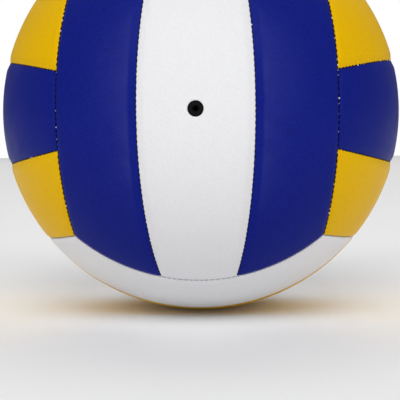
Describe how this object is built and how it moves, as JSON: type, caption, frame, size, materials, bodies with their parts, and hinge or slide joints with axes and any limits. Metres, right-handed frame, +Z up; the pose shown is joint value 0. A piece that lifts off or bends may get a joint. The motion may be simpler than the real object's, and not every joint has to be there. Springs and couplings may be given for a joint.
{
  "type": "volleyball",
  "caption": "Stitched indoor volleyball with strip panels in blue, white and yellow, foam backing, a rubber bladder and a needle valve in the front middle strip.",
  "frame": {"origin": "centre of the ball", "axes": "+Z up, -Y out of the valve, +X to the right of someone who looks at the valve"},
  "size_m": [0.21, 0.2099, 0.21],
  "materials": {
    "blue_cover": "grained synthetic leather, satin",
    "white_cover": "grained synthetic leather, satin",
    "yellow_cover": "grained synthetic leather, satin",
    "foam": "closed-cell foam sheet, matte",
    "seam_thread": "waxed polyester thread",
    "bladder_rubber": "moulded rubber, satin",
    "valve_rubber": "moulded rubber, matte"
  },
  "bodies": {
    "root": {"front_left_panel": "blue_cover", "front_left_foam": "foam", "front_left_edge_thread": "seam_thread", "front_middle_panel": "white_cover", "front_middle_foam": "foam", "front_right_panel": "blue_cover", "front_right_foam": "foam", "front_right_edge_thread": "seam_thread", "front_strip_threads": "seam_thread", "back_left_panel": "blue_cover", "back_left_foam": "foam", "back_left_edge_thread": "seam_thread", "back_middle_panel": "white_cover", "back_middle_foam": "foam", "back_right_panel": "blue_cover", "back_right_foam": "foam", "back_right_edge_thread": "seam_thread", "back_strip_threads": "seam_thread", "left_bottom_panel": "yellow_cover", "left_bottom_foam": "foam", "left_bottom_edge_thread": "seam_thread", "left_middle_panel": "blue_cover", "left_middle_foam": "foam", "left_top_panel": "yellow_cover", "left_top_foam": "foam", "left_top_edge_thread": "seam_thread", "left_strip_threads": "seam_thread", "right_bottom_panel": "yellow_cover", "right_bottom_foam": "foam", "right_bottom_edge_thread": "seam_thread", "right_middle_panel": "blue_cover", "right_middle_foam": "foam", "right_top_panel": "yellow_cover", "right_top_foam": "foam", "right_top_edge_thread": "seam_thread", "right_strip_threads": "seam_thread", "top_front_panel": "white_cover", "top_front_foam": "foam", "top_front_edge_thread": "seam_thread", "top_middle_panel": "yellow_cover", "top_middle_foam": "foam", "top_back_panel": "white_cover", "top_back_foam": "foam", "top_back_edge_thread": "seam_thread", "top_strip_threads": "seam_thread", "bottom_front_panel": "white_cover", "bottom_front_foam": "foam", "bottom_front_edge_thread": "seam_thread", "bottom_middle_panel": "yellow_cover", "bottom_middle_foam": "foam", "bottom_back_panel": "white_cover", "bottom_back_foam": "foam", "bottom_back_edge_thread": "seam_thread", "bottom_strip_threads": "seam_thread", "bladder": "bladder_rubber", "valve_boss": "valve_rubber", "valve_plug": "valve_rubber"}
  },
  "joints": []
}
